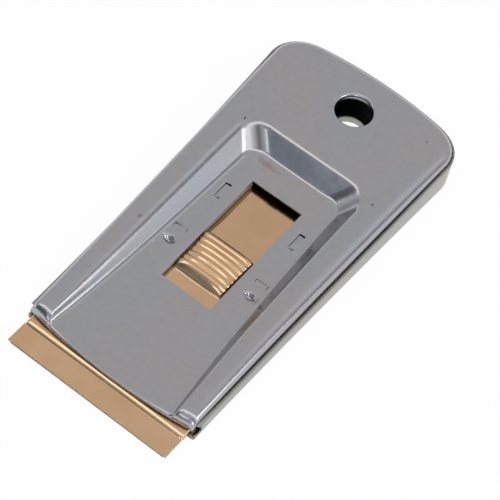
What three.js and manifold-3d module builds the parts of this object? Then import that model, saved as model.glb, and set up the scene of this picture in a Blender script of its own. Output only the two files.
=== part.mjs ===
// Pocket razor scraper with a retractable blade, in millimetres, +Z up.
// The body is two nested pressings: a top shell with a sunk deck and a tray that closes it from below.
// Between them a pressed carriage slides along Y and carries a single-edge razor blade under its front strip.
// Lengths along Y are counted from the front edge of the carriage when the blade is out, towards the hang hole.

import * as THREE from 'three';
import { mergeVertices } from 'three/addons/utils/BufferGeometryUtils.js';
import Module from 'manifold-3d';

const wasm = await Module();
wasm.setup();

// Razor blade, a standard single-edge blade with a folded steel spine
const bladeWidth = 38.1;
const bladeDepth = 19;
const bladeThickness = 0.23;
const bladeBevel = 1.3;
const bladeTip = 0.04;
const bladeProud = 0.1;
const bladeNotchRadius = 1.1;
const bladeNotchSetback = 10.5;
const spineDepth = 5.2;
const spineThickness = 1.1;
const spineSheet = 0.34;

// Sheets and running clearances
const shellSheet = 0.5;
const traySheet = 0.5;
const carriageSheet = 0.35;
const runningClearance = 0.1;
const floorClearance = 0.25;
const bladeSeatClearance = 0.05;
const bladeSideClearance = 0.25;
const nestClearance = 0.12;

// Carriage
const stripDepth = 4.9;
const stepReach = 0.6;
const stepRise = 0.6;
const valleyDip = 0.03;
const beadRise = 0.18;
const beadReach = 0.7;
const carriageBehindWindow = 3.3;
const carriageBendRadius = 0.8;
const lipBendRadius = 0.6;
const lipWidth = 2.2;
const lipStart = 8;
const lipLength = 16;
const lipRelief = 0.5;
const nibRadius = 0.6;
const travel = 15.5;

// Thumb dome, pressed up out of the carriage
const domeStart = 34.1;
const domeLength = 11.3;
const domeHalfWidth = 6;
const domeRiser = 1.2;
const domeHeel = 0.35;
const domeFrontHeight = 1.65;
const domeRearHeight = 2.05;
const domeCrown = 0.4;
const domeMiddleArchShare = 2.4;
const domeEndArchShare = 4.4;
const ribCount = 7;
const ribHeight = 0.3;

// Body outline seen from above
const shellFront = 5.55;
const shellLength = 92.6;
const frontBow = 1.75;
const frontBowReach = 16;
const bodySideClearance = 0.15;
const bodyFlare = 2.3;
const sideCurveShare = 1.5;
const rearBow = 1.2;
const bodyCornerRadius = 7.2;

// Body heights
const roofFrontHeight = 5.6;
const roofRearHeight = 9.6;
const deckFrontHeight = 4.1;
const deckRearHeight = 5;
const lipHeight = 3.3;
const frontRollShare = 1.1;
const rollReach = 3;
const rollDrop = 1.6;

// Sunk deck
const rimHalfWidth = 15.6;
const rimFrontSpread = 0.4;
const rimSpreadReach = 32;
const bodyBehindDeck = 26.2;
const recessCornerRadius = 5;
const recessSlideReach = 18;
const recessRunShare = 1.2;
const recessSteepDepth = 1.08;
const recessEdgeRadius = 2.8;
const recessFootRadius = 1.8;

// Window over the thumb dome
const windowHalfWidth = 6.3;
const windowFrontRoom = 3.6;
const deckBehindWindow = 10.75;

// Stop tabs and detent tabs, lanced in the deck
const stopTabOffset = 9.55;
const stopTabSetback = 8.5;
const stopTabLength = 4.6;
const stopTabWidth = 1.3;
const stopTabJoggle = 0.25;
const stopTabRamp = 0.8;
const stopTabBendRadius = 0.25;
const stopTabHook = 1.9;
const lanceGap = 0.16;
const stopSlotClearance = 0.3;
const detentTabOffset = 10.35;
const detentTabWidth = 3.1;
const detentTabReach = 4.4;
const detentTabSideCut = 1;
const detentSetback = 14.45;
const detentHalfWidth = 1.75;
const detentHalfLength = 1.15;
const detentHoleRadius = 1;

// Hang hole
const hangHoleSetback = 10.85;
const hangHoleRadius = 4.05;
const hangLipRadius = 0.8;
const hangLipDepth = 2.7;
const lipOverlap = 0.1;
const trayHoleRadius = 3.9;
const trayHoleLipRadius = 0.5;
const trayHoleLipHeight = 2;

// Tray
const trayFront = 7;
const trayCornerSetback = 0.6;
const trayCornerShare = 14;
const trayBendRadius = 0.6;
const trayWallFront = 3.95;
const trayWallRear = 7.5;
const trayWallCurveShare = 1.85;
const wallOverlap = 1;
const notchFoot = 1.2;
const notchHead = 3.1;
const notchLength = 2.5;
const notchSlant = 1.2;

// How finely the curved stretches are divided
const rollSteps = 5;
const bendSteps = 3;
const edgeSteps = 4;
const frontSteps = 6;
const sideSteps = 11;
const flankSteps = 4;
const cornerSteps = 8;
const rearSteps = 4;
const recessTurnSteps = 10;
const circleSides = 36;
const smallCircleSides = 28;
const dimpleSteps = 8;
const stepsPerRib = 6;
const archColumns = 12;
const overrun = 2;
const weldDepth = 0.015;

// Stack of heights, from the table up
const carriageFoot = traySheet + floorClearance;
const spineFoot = carriageFoot + carriageSheet + bladeSeatClearance;
const bladeFoot = spineFoot + (spineThickness - bladeThickness) / 2;
const stripTop = bladeFoot + bladeThickness + bladeSeatClearance + carriageSheet;
const plateTop = stripTop + stepRise;

// Widths that follow the blade, from the carriage out to the body
const carriageHalfWidth = bladeWidth / 2 + bladeSideClearance + carriageSheet;
const frontHalfWidth = carriageHalfWidth + bodySideClearance + shellSheet;
const rearHalfWidth = frontHalfWidth + bodyFlare;

// Places that follow the outline
const shellRear = shellFront + shellLength;
const recessRear = shellRear - bodyBehindDeck;
const recessLength = recessRear - shellFront;
const recessTurnStart = recessRear - recessCornerRadius;
const recessTurnX = rimHalfWidth - recessCornerRadius;
const sideEnd = shellRear - rearBow - bodyCornerRadius;
const rearTurnX = rearHalfWidth - bodyCornerRadius;
const trayOffset = traySheet + nestClearance;

// Places that follow each other along the body, from the rear end forwards
const hangHoleCentre = shellRear - hangHoleSetback;
const windowRear = recessRear - deckBehindWindow;
const windowStart = domeStart - windowFrontRoom;
const carriageLength = windowRear + carriageBehindWindow;
const stopTabStart = windowRear - stopTabSetback;
const detentCentre = stopTabStart - detentSetback;
const detentTabEnd = detentCentre + detentTabReach;

const degrees = Math.PI / 180;
const quarterTurn = 90 * degrees;
const roundCornerShare = 0.5523;

const clamp01 = (value) => THREE.MathUtils.clamp(value, 0, 1);
const mix = THREE.MathUtils.lerp;
const smooth = (value, low, high) => THREE.MathUtils.smoothstep(value, low, high);

function bump(value, centre, reach) {
  return 1 - smooth(Math.abs(value - centre), 0, reach);
}

function steps(count, from = 0, to = 1) {
  return Array.from({ length: count + 1 }, (_, index) => mix(from, to, index / count));
}

// Plan of the shell: half width of the flanks, and the bowed rear edge

function halfWidth(y) {
  const along = clamp01((y - shellFront) / (sideEnd - shellFront));
  return mix(frontHalfWidth, rearHalfWidth, along ** sideCurveShare);
}

function rearEdge(x) {
  return shellRear - rearBow * (x / rearTurnX) ** 2;
}

function rimAt(y) {
  const near = 1 - clamp01((y - shellFront) / rimSpreadReach);
  return rimHalfWidth + rimFrontSpread * near ** 2;
}

// Heights of the roof, the sunk deck and the tray wall

function roofHeight(y) {
  const along = clamp01((y - shellFront) / shellLength);
  return roofRearHeight - (roofRearHeight - roofFrontHeight) * (1 - along) ** 2;
}

function deckHeight(y) {
  return mix(deckFrontHeight, deckRearHeight, (y - shellFront) / recessLength);
}

function slopeOf(height, y) {
  return Math.atan2(height(y + shellSheet) - height(y - shellSheet), 2 * shellSheet);
}

function trayWallHeight(y) {
  const along = clamp01((y - shellFront) / (sideEnd - shellFront));
  return mix(trayWallFront, trayWallRear, along ** trayWallCurveShare);
}

// The front edge is rolled down to the lip: low stretches turn over a short reach, high ones over a longer one
function rolledFront(height, depth) {
  const rise = height - lipHeight;
  if (rise <= 0) {
    return height;
  }
  const near = 1 - clamp01(depth / (rise * frontRollShare));
  return lipHeight + rise * Math.sqrt(1 - near * near);
}

// Outline of the shell from the flank, round the rear corner, to the middle of the rear edge.
// Each entry has a point on the outline and the direction inwards from it.

function flankPoint(y) {
  return { at: new THREE.Vector2(halfWidth(y), y), inward: new THREE.Vector2(-1, 0) };
}

function rearOutline() {
  const start = new THREE.Vector2(halfWidth(sideEnd), sideEnd);
  const end = new THREE.Vector2(rearTurnX, rearEdge(rearTurnX));
  const handle = roundCornerShare * bodyCornerRadius;
  const rearSlope = (2 * rearBow) / rearTurnX;
  const corner = new THREE.CubicBezierCurve(
    start,
    new THREE.Vector2(start.x, start.y + handle),
    new THREE.Vector2(end.x + handle, end.y - handle * rearSlope),
    end,
  );
  const flank = steps(flankSteps, recessTurnStart, sideEnd).slice(1, -1).map(flankPoint);
  const turn = steps(cornerSteps).map((share) => {
    const tangent = corner.getTangent(share);
    return { at: corner.getPoint(share), inward: new THREE.Vector2(-tangent.y, tangent.x) };
  });
  const rear = steps(rearSteps, rearTurnX, 0).slice(1).map((x) => {
    const slope = (2 * rearBow * x) / rearTurnX ** 2;
    return { at: new THREE.Vector2(x, rearEdge(x)), inward: new THREE.Vector2(-slope, -1).normalize() };
  });
  return [...flank, ...turn, ...rear];
}

// Rim of the sunk deck on its flank. Towards the corner the wall leans forwards as well as inwards,
// so that the deck keeps the rim's corner radius.
function rimFlank(row) {
  const lean = smooth(row, recessTurnStart - recessSlideReach, recessTurnStart);
  const at = new THREE.Vector2(rimAt(row), row);
  return { at, inward: new THREE.Vector2(-1, 0), footward: new THREE.Vector2(-1, -lean) };
}

// Rim of the sunk deck that faces each entry of the rear outline
function rimTurn(index, count) {
  if (index <= recessTurnSteps) {
    const angle = quarterTurn * (index / recessTurnSteps);
    const inward = new THREE.Vector2(-Math.cos(angle), -Math.sin(angle));
    const at = new THREE.Vector2(recessTurnX, recessTurnStart).addScaledVector(inward, -recessCornerRadius);
    return { at, inward, footward: new THREE.Vector2(-1, -1) };
  }
  const share = (index - recessTurnSteps) / (count - recessTurnSteps);
  const at = new THREE.Vector2(mix(recessTurnX, 0, share), recessRear);
  return { at, inward: new THREE.Vector2(0, -1), footward: new THREE.Vector2(share - 1, -1) };
}

// How far the wall of the sunk deck runs inwards: it stands steep where the deck is shallow
function recessRun(depth) {
  return recessRunShare * (depth - recessSteepDepth);
}

// Wall between the rim and the deck, as distance inwards from the rim and height over the deck.
// Both its bends are rounded by a curve through the corner.
function recessWall(depth) {
  const run = recessRun(depth);
  const slope = new THREE.Vector2(run, -depth).normalize();
  const bend = Math.tan(Math.atan2(depth, run) / 2);
  const head = new THREE.Vector2(0, depth);
  const foot = new THREE.Vector2(run, 0);
  const shortest = Math.hypot(run, depth) / 2;
  const headReach = Math.min(recessEdgeRadius * bend, shortest);
  const footReach = Math.min(recessFootRadius * bend, shortest);
  const headCurve = new THREE.QuadraticBezierCurve(
    new THREE.Vector2(-headReach, depth),
    head,
    head.clone().addScaledVector(slope, headReach),
  );
  const footCurve = new THREE.QuadraticBezierCurve(
    foot.clone().addScaledVector(slope, -footReach),
    foot,
    new THREE.Vector2(run + footReach, 0),
  );
  return [headCurve.getPoints(edgeSteps), footCurve.getPoints(edgeSteps)];
}

// One section of the shell, traced from the foot of its side wall and given from the middle of the deck outwards
function shellSection(outline, rim, middle, deckShares, frontDepth, planAt) {
  const points = [];
  const put = (plan, height) => {
    const [x, y] = planAt(plan);
    points.push(new THREE.Vector3(x, y, rolledFront(height(y), frontDepth)));
  };
  put(outline.at, (y) => trayWallHeight(y) - wallOverlap);
  for (const share of steps(rollSteps)) {
    const plan = outline.at.clone().addScaledVector(outline.inward, rollReach * share ** 2);
    put(plan, (y) => roofHeight(y) - rollDrop * (1 - share) ** 2);
  }
  const depth = roofHeight(rim.at.y) - deckHeight(rim.at.y);
  const [head, foot] = recessWall(depth);
  const run = recessRun(depth);
  const onWall = (spot) => {
    const lean = rim.inward.clone().lerp(rim.footward, clamp01(spot.x / run));
    return rim.at.clone().addScaledVector(lean, spot.x);
  };
  const rollEnd = outline.at.clone().addScaledVector(outline.inward, rollReach);
  for (const share of steps(3).slice(1, -1)) {
    put(rollEnd.clone().lerp(onWall(head[0]), share), roofHeight);
  }
  head.forEach((spot) => put(onWall(spot), (y) => roofHeight(y) - (depth - spot.y)));
  foot.forEach((spot) => put(onWall(spot), (y) => deckHeight(y) + spot.y));
  const deckEdge = onWall(foot[foot.length - 1]);
  for (const share of deckShares) {
    put(deckEdge.clone().lerp(middle, share), deckHeight);
  }
  return points.reverse();
}

// Sections of one half of the shell, from the front edge to the middle of the rear edge
function shellSections() {
  const tallestRise = (roofFrontHeight - lipHeight) * frontRollShare;
  const frontRows = steps(frontSteps, 0, quarterTurn).map((angle) => tallestRise * (1 - Math.cos(angle)));
  const sideRows = steps(sideSteps, tallestRise, recessTurnStart - shellFront).slice(1);
  const sections = [...frontRows, ...sideRows].map((depth) => {
    const row = shellFront + depth;
    const fade = 1 - smooth(depth, 0, frontBowReach);
    const planAt = (plan) => [plan.x, plan.y + frontBow * fade * (plan.x / frontHalfWidth) ** 2];
    const middle = new THREE.Vector2(0, row);
    return shellSection(flankPoint(row), rimFlank(row), middle, [1 / 3, 2 / 3, 1], depth, planAt);
  });
  const outline = rearOutline();
  const turnMiddle = new THREE.Vector2(0, recessTurnStart);
  outline.forEach((spot, index) => {
    const rim = rimTurn(index + 1, outline.length);
    const depth = spot.at.y - shellFront;
    sections.push(shellSection(spot, rim, turnMiddle, [0, 0, 1], depth, (plan) => [plan.x, plan.y]));
  });
  return sections;
}

// One section of the tray, from the top of its side wall to the middle of its floor
function trayWallSection(spot, middle, planAt) {
  const points = [];
  const edge = spot.at.clone().addScaledVector(spot.inward, -trayOffset);
  const put = (plan, height) => {
    const [x, y] = planAt(plan);
    points.push(new THREE.Vector3(x, y, height(y)));
  };
  put(edge, trayWallHeight);
  for (const angle of steps(bendSteps, 0, quarterTurn)) {
    const plan = edge.clone().addScaledVector(spot.inward, trayBendRadius * (1 - Math.cos(angle)));
    put(plan, () => trayBendRadius * (1 - Math.sin(angle)));
  }
  const floorEdge = edge.clone().addScaledVector(spot.inward, trayBendRadius);
  for (const share of steps(3).slice(1)) {
    put(floorEdge.clone().lerp(middle, share), () => 0);
  }
  return points;
}

function traySections() {
  const rows = [0, trayCornerSetback, ...steps(sideSteps, frontBowReach / 2, recessTurnStart - trayFront)];
  const sections = rows.map((depth) => {
    const row = trayFront + depth;
    const fade = 1 - smooth(depth, 0, frontBowReach);
    const reach = halfWidth(row) + trayOffset;
    const planAt = (plan) => [plan.x, plan.y + trayCornerSetback * fade * (plan.x / reach) ** trayCornerShare];
    return trayWallSection(flankPoint(row), new THREE.Vector2(0, row), planAt);
  });
  const middle = new THREE.Vector2(0, recessTurnStart);
  rearOutline().forEach((spot) => {
    sections.push(trayWallSection(spot, middle, (plan) => [plan.x, plan.y]));
  });
  return sections;
}

// Joins rows of points into one surface of triangles and welds the points that coincide.
// Each net is a list of rows with the same number of points.
function weldedSurface(nets) {
  const positions = [];
  const triangles = [];
  for (const rows of nets) {
    const base = positions.length / 3;
    const columns = rows[0].length;
    rows.forEach((row) => row.forEach((point) => positions.push(point.x, point.y, point.z)));
    for (let row = 0; row + 1 < rows.length; row += 1) {
      for (let column = 0; column + 1 < columns; column += 1) {
        const near = base + row * columns + column;
        const far = near + columns;
        triangles.push(near, near + 1, far + 1, near, far + 1, far);
      }
    }
  }
  const loose = new THREE.BufferGeometry();
  loose.setAttribute('position', new THREE.Float32BufferAttribute(positions, 3));
  loose.setIndex(triangles);
  const welded = mergeVertices(loose);
  const kept = [];
  const index = welded.index.array;
  for (let corner = 0; corner < index.length; corner += 3) {
    const [a, b, c] = index.slice(corner, corner + 3);
    if (a !== b && b !== c && c !== a) {
      kept.push(a, b, c);
    }
  }
  welded.setIndex(kept);
  welded.computeVertexNormals();
  return welded;
}

function mirrored(sections) {
  return sections.map((row) => row.map((point) => new THREE.Vector3(-point.x, point.y, point.z)));
}

// A half and its mirror image, as two nets whose faces look the same way
function bothHalves(sections) {
  return [sections, mirrored(sections).map((row) => row.slice().reverse())];
}

// Gives a surface the thickness of its sheet on the side away from its normals, and closes its open edges
function sheetFrom(surface, thickness) {
  const outer = surface.attributes.position;
  const normal = surface.attributes.normal;
  const faces = Array.from(surface.index.array);
  const count = outer.count;
  const positions = Array.from(outer.array.slice(0, count * 3));
  for (let vertex = 0; vertex < count; vertex += 1) {
    positions.push(
      outer.getX(vertex) - thickness * normal.getX(vertex),
      outer.getY(vertex) - thickness * normal.getY(vertex),
      outer.getZ(vertex) - thickness * normal.getZ(vertex),
    );
  }
  const triangles = faces.slice();
  const edges = new Set();
  for (let corner = 0; corner < faces.length; corner += 3) {
    const [a, b, c] = faces.slice(corner, corner + 3);
    triangles.push(a + count, c + count, b + count);
    [[a, b], [b, c], [c, a]].forEach(([from, to]) => edges.add(`${from} ${to}`));
  }
  for (const edge of edges) {
    const [from, to] = edge.split(' ').map(Number);
    if (!edges.has(`${to} ${from}`)) {
      triangles.push(to, from, from + count, to, from + count, to + count);
    }
  }
  const sheet = new THREE.BufferGeometry();
  sheet.setAttribute('position', new THREE.Float32BufferAttribute(positions, 3));
  sheet.setIndex(triangles);
  return sheet;
}

// Closed meshes to solids and back

function solidFrom(geometry) {
  const bare = geometry.clone();
  bare.deleteAttribute('normal');
  bare.deleteAttribute('uv');
  const merged = mergeVertices(bare);
  return new wasm.Manifold(new wasm.Mesh({
    numProp: 3,
    vertProperties: new Float32Array(merged.attributes.position.array),
    triVerts: new Uint32Array(merged.index.array),
  }));
}

function geometryFrom(solid) {
  const mesh = solid.getMesh();
  const geometry = new THREE.BufferGeometry();
  geometry.setAttribute('position', new THREE.BufferAttribute(mesh.vertProperties, 3));
  geometry.setIndex(new THREE.BufferAttribute(mesh.triVerts, 1));
  geometry.computeVertexNormals();
  return geometry;
}

// Cutting and joining shapes

function shapeFrom(points) {
  return new THREE.Shape(points.map(([first, second]) => new THREE.Vector2(first, second)));
}

function rectangle(left, right, front, rear) {
  return shapeFrom([[left, front], [right, front], [right, rear], [left, rear]]);
}

// A flat outline in X and Y, raised from one height to another
function raised(shape, from, to) {
  const geometry = new THREE.ExtrudeGeometry(shape, { depth: to - from, bevelEnabled: false });
  return solidFrom(geometry.translate(0, 0, from));
}

// A profile in Y and Z, carried across from one X to another
function across(shape, left, right) {
  const geometry = new THREE.ExtrudeGeometry(shape, { depth: right - left, bevelEnabled: false });
  const turn = new THREE.Matrix4().makeBasis(
    new THREE.Vector3(0, 1, 0),
    new THREE.Vector3(0, 0, 1),
    new THREE.Vector3(1, 0, 0),
  );
  return solidFrom(geometry.applyMatrix4(turn).translate(left, 0, 0));
}

function post(radius, from, to, x, y, sides) {
  const geometry = new THREE.CylinderGeometry(radius, radius, to - from, sides);
  return solidFrom(geometry.rotateX(quarterTurn).translate(x, y, (from + to) / 2));
}

// A sheet drawn into a round lip: flat outside, turned by a bend into a short neck. Heights count down from its face.
function drawnLip(boreRadius, bendRadius, neckDepth, sheet) {
  const outerBend = steps(bendSteps, 0, quarterTurn).map((angle) => [
    boreRadius + bendRadius * (1 - Math.sin(quarterTurn - angle)),
    -bendRadius * (1 - Math.cos(quarterTurn - angle)),
  ]);
  const innerRadius = Math.max(bendRadius - sheet, 0);
  const innerBend = steps(bendSteps, 0, quarterTurn).map((angle) => [
    boreRadius + bendRadius - innerRadius * Math.cos(angle),
    -bendRadius + innerRadius * Math.sin(angle),
  ]);
  const flat = boreRadius + bendRadius + lipOverlap;
  const profile = [
    [flat, -sheet],
    [flat, 0],
    ...outerBend.reverse(),
    [boreRadius, -neckDepth],
    [boreRadius + sheet, -neckDepth],
    ...innerBend,
  ];
  const closed = [...profile, profile[0]].map(([radius, height]) => new THREE.Vector2(radius, height));
  return new THREE.LatheGeometry(closed, circleSides).rotateX(quarterTurn);
}

// Top shell

// Tongue set a little lower than the deck, with its rear end turned down into the slot of the carriage
function stopTab(side) {
  const top = deckHeight(stopTabStart) - weldDepth;
  const foot = top - shellSheet + 2 * weldDepth;
  const low = top - stopTabJoggle;
  const end = stopTabStart + stopTabLength - lanceGap;
  const root = stopTabStart - shellSheet;
  const bend = steps(bendSteps, 0, quarterTurn).map((angle) => [
    end - stopTabBendRadius * (1 - Math.sin(angle)),
    low - stopTabBendRadius * (1 - Math.cos(angle)),
  ]);
  const profile = shapeFrom([
    [root, top],
    [stopTabStart, top],
    [stopTabStart + stopTabRamp, low],
    ...bend,
    [end, low - stopTabHook],
    [end - shellSheet, low - stopTabHook],
    [end - shellSheet, low - shellSheet],
    [stopTabStart + stopTabRamp, low - shellSheet],
    [stopTabStart, foot],
    [root, foot],
  ]);
  const middle = side * stopTabOffset;
  return across(profile, middle - stopTabWidth / 2, middle + stopTabWidth / 2);
}

function stopTabHole(side) {
  const reach = stopTabWidth / 2 + lanceGap;
  const middle = side * stopTabOffset;
  const hole = rectangle(middle - reach, middle + reach, stopTabStart, stopTabStart + stopTabLength);
  return raised(hole, lipHeight, roofRearHeight);
}

function detentSlits(side) {
  const middle = side * detentTabOffset;
  const left = middle - detentTabWidth / 2;
  const right = middle + detentTabWidth / 2;
  const front = detentTabEnd - detentTabSideCut;
  const slit = shapeFrom([
    [left, front],
    [left, detentTabEnd],
    [right, detentTabEnd],
    [right, front],
    [right - lanceGap, front],
    [right - lanceGap, detentTabEnd - lanceGap],
    [left + lanceGap, detentTabEnd - lanceGap],
    [left + lanceGap, front],
  ]);
  return raised(slit, lipHeight - overrun, roofRearHeight);
}

// Dimple pressed in the detent tab down to the carriage: a soft-edged round bowl, widened across the tab
function detentDimple(side) {
  const deck = deckHeight(detentCentre);
  const depth = deck - shellSheet - plateTop - runningClearance;
  const bowl = steps(dimpleSteps).map((share) => [share, (-depth / 2) * (1 + Math.cos(Math.PI * share))]);
  const below = bowl.map(([radius, height]) => [radius, height - shellSheet]);
  const closed = [...below, ...bowl.reverse(), below[0]];
  const profile = closed.map(([radius, height]) => new THREE.Vector2(radius, height));
  const geometry = new THREE.LatheGeometry(profile, smallCircleSides).rotateX(quarterTurn);
  geometry.scale(detentHalfWidth + weldDepth, detentHalfLength + weldDepth, 1);
  geometry.rotateX(slopeOf(deckHeight, detentCentre));
  return solidFrom(geometry.translate(side * detentTabOffset, detentCentre, deck - weldDepth));
}

function detentOpening(side) {
  const deck = deckHeight(detentCentre);
  const geometry = new THREE.CylinderGeometry(1, 1, 4 * shellSheet, smallCircleSides).rotateX(quarterTurn);
  geometry.scale(detentHalfWidth, detentHalfLength, 1);
  return solidFrom(geometry.translate(side * detentTabOffset, detentCentre, deck));
}

function topShell() {
  let solid = solidFrom(sheetFrom(weldedSurface(bothHalves(shellSections())), shellSheet));
  const windowOutline = rectangle(-windowHalfWidth, windowHalfWidth, windowStart, windowRear);
  solid = solid.subtract(raised(windowOutline, lipHeight, roofRearHeight));
  for (const side of [-1, 1]) {
    solid = solid.subtract(stopTabHole(side)).add(stopTab(side));
    solid = solid.subtract(detentOpening(side)).add(detentDimple(side)).subtract(detentSlits(side));
  }
  const roof = roofHeight(hangHoleCentre);
  const opening = hangHoleRadius + hangLipRadius;
  solid = solid.subtract(post(opening, roof - overrun, roof + overrun, 0, hangHoleCentre, circleSides));
  const lip = drawnLip(hangHoleRadius, hangLipRadius, hangLipDepth, shellSheet);
  lip.rotateX(slopeOf(roofHeight, hangHoleCentre));
  return geometryFrom(solid.add(solidFrom(lip.translate(0, hangHoleCentre, roof - weldDepth))));
}

// Tray

// What is cut from the front of each side wall: it leaves a low lip under a slanted end
function sideNotch() {
  const front = trayFront - overrun;
  const rear = trayFront + notchLength;
  const head = trayWallRear + overrun;
  return shapeFrom([
    [front, notchFoot],
    [rear, notchFoot],
    [rear, notchHead],
    [rear - notchSlant, trayWallFront],
    [rear - notchSlant, head],
    [front, head],
  ]);
}

function bottomTray() {
  const halves = bothHalves(traySections());
  let solid = solidFrom(sheetFrom(weldedSurface(halves), traySheet));
  const reach = rearHalfWidth + overrun;
  const inner = frontHalfWidth - trayBendRadius;
  for (const [left, right] of [[-reach, -inner], [inner, reach]]) {
    solid = solid.subtract(across(sideNotch(), left, right));
  }
  const opening = trayHoleRadius + trayHoleLipRadius;
  solid = solid.subtract(post(opening, -overrun, overrun, 0, hangHoleCentre, circleSides));
  const lip = drawnLip(trayHoleRadius, trayHoleLipRadius, trayHoleLipHeight, traySheet);
  return geometryFrom(solid.add(solidFrom(lip.rotateX(2 * quarterTurn).translate(0, hangHoleCentre, 0))));
}

// Carriage

function carriageHeight(y) {
  const step = smooth(y, stripDepth, stripDepth + stepReach);
  const valley = valleyDip * bump(y, stripDepth, stepReach);
  const bead = beadRise * bump(y, stripDepth + stepReach, beadReach);
  return stripTop + stepRise * step - valley + bead;
}

function carriageRows() {
  const formed = steps(10, stripDepth - stepReach, stripDepth + stepReach + beadReach);
  const lipEnd = lipStart + lipLength;
  return [0, ...formed, lipStart, lipEnd, lipEnd + lipRelief, carriageLength];
}

// Top of the carriage from its middle to the end of the side bend
function carriageTopRow(y) {
  const flatEdge = carriageHalfWidth - carriageBendRadius;
  const height = carriageHeight(y);
  const bent = smooth(y, stripDepth, stripDepth + stepReach);
  const arc = steps(bendSteps, 0, quarterTurn).map((angle) => new THREE.Vector3(
    flatEdge + carriageBendRadius * Math.sin(angle),
    y,
    height - bent * carriageBendRadius * (1 - Math.cos(angle)),
  ));
  return [new THREE.Vector3(0, y, height), ...arc];
}

function flangeRow(y) {
  const head = carriageHeight(y) - carriageBendRadius;
  return [head, carriageFoot + lipBendRadius].map((z) => new THREE.Vector3(carriageHalfWidth, y, z));
}

function footRow(y) {
  return [carriageFoot + lipBendRadius, carriageFoot].map((z) => new THREE.Vector3(carriageHalfWidth, y, z));
}

// Lip turned in under the blade
function lipRow(y) {
  const centre = carriageHalfWidth - lipBendRadius;
  const arc = steps(bendSteps, 0, quarterTurn).map((angle) => new THREE.Vector3(
    centre + lipBendRadius * Math.cos(angle),
    y,
    carriageFoot + lipBendRadius * (1 - Math.sin(angle)),
  ));
  return [...arc, new THREE.Vector3(carriageHalfWidth - lipWidth, y, carriageFoot)];
}

function carriageSurface() {
  const rows = carriageRows();
  const flanged = rows.filter((y) => y >= stripDepth + stepReach);
  const lipEnd = lipStart + lipLength;
  const lipped = flanged.filter((y) => y >= lipStart && y <= lipEnd);
  const afterLip = flanged.filter((y) => y >= lipEnd + lipRelief);
  const nets = [rows.map(carriageTopRow), flanged.map(flangeRow), lipped.map(lipRow), afterLip.map(footRow)];
  return weldedSurface(nets.flatMap(bothHalves));
}

// Share of the dome's height that is left across its width: round in the middle, flatter at both ends
function domeArch(x, y) {
  const fromMiddle = Math.abs((2 * (y - domeStart)) / domeLength - 1);
  const power = mix(domeMiddleArchShare, domeEndArchShare, fromMiddle ** 3);
  return 1 - Math.abs(x / domeHalfWidth) ** power;
}

// Height of the thumb dome over the plate: a steep riser, a crowned arch and a steep heel
function domeHeight(x, y) {
  const along = (y - domeStart) / domeLength;
  const arch = domeArch(x, y);
  const crown = domeCrown * 4 * along * (1 - along);
  const body = mix(domeFrontHeight, domeRearHeight, along) + crown;
  const riser = Math.sin(quarterTurn * clamp01((y - domeStart) / domeRiser));
  const heel = Math.sin(quarterTurn * clamp01((domeStart + domeLength - y) / domeHeel));
  return body * arch * Math.min(riser, heel);
}

function ribAt(x, y) {
  const start = domeStart + domeRiser;
  const pitch = (domeLength - domeRiser - domeHeel) / ribCount;
  const phase = (y - start) / pitch;
  if (phase <= 0 || phase >= ribCount) {
    return 0;
  }
  return (ribHeight / 2) * (1 - Math.cos(2 * Math.PI * phase)) * domeArch(x, y);
}

function domeRows(ribSteps) {
  const riserEnd = domeStart + domeRiser;
  const heelStart = domeStart + domeLength - domeHeel;
  return [
    ...steps(3, domeStart, riserEnd).slice(0, -1),
    ...steps(ribSteps, riserEnd, heelStart),
    ...steps(2, heelStart, domeStart + domeLength).slice(1),
  ];
}

// A solid under the dome, standing on a base height, with or without its ribs
function domeSolid(base, ribSteps, ribbed, thinner) {
  const columns = steps(archColumns, -quarterTurn, quarterTurn).map((angle) => domeHalfWidth * Math.sin(angle));
  const roof = domeRows(ribSteps).map((y) => columns.map((x) => {
    const height = domeHeight(x, y) + (ribbed ? ribAt(x, y) : 0);
    return new THREE.Vector3(x, y, plateTop - runningClearance / 2 + height);
  }));
  const surface = weldedSurface([roof]);
  const place = surface.attributes.position;
  const normal = surface.attributes.normal;
  const count = place.count;
  const positions = [];
  for (let vertex = 0; vertex < count; vertex += 1) {
    positions.push(
      place.getX(vertex) - thinner * normal.getX(vertex),
      place.getY(vertex) - thinner * normal.getY(vertex),
      place.getZ(vertex) - thinner * normal.getZ(vertex),
    );
  }
  for (let vertex = 0; vertex < count; vertex += 1) {
    positions.push(positions[3 * vertex], positions[3 * vertex + 1], base);
  }
  return closedOver(positions, Array.from(surface.index.array), count);
}

// Closes a roof surface over its own shadow on a flat base
function closedOver(positions, faces, count) {
  const triangles = faces.slice();
  const edges = new Set();
  for (let corner = 0; corner < faces.length; corner += 3) {
    const [a, b, c] = faces.slice(corner, corner + 3);
    triangles.push(a + count, c + count, b + count);
    [[a, b], [b, c], [c, a]].forEach(([from, to]) => edges.add(`${from} ${to}`));
  }
  for (const edge of edges) {
    const [from, to] = edge.split(' ').map(Number);
    if (!edges.has(`${to} ${from}`)) {
      triangles.push(to, from, from + count, to, from + count, to + count);
    }
  }
  const closed = new THREE.BufferGeometry();
  closed.setAttribute('position', new THREE.Float32BufferAttribute(positions, 3));
  closed.setIndex(triangles);
  return solidFrom(closed);
}

// Slot that the stop tab runs in: its rear end meets the tab when the blade is fully out
function stopSlot(side) {
  const reach = stopTabWidth / 2 + stopSlotClearance;
  const middle = side * stopTabOffset;
  const rear = stopTabStart + stopTabLength - lanceGap + runningClearance;
  const front = rear - runningClearance - shellSheet - travel - stopSlotClearance;
  return raised(rectangle(middle - reach, middle + reach, front, rear), 0, plateTop + overrun);
}

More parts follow.
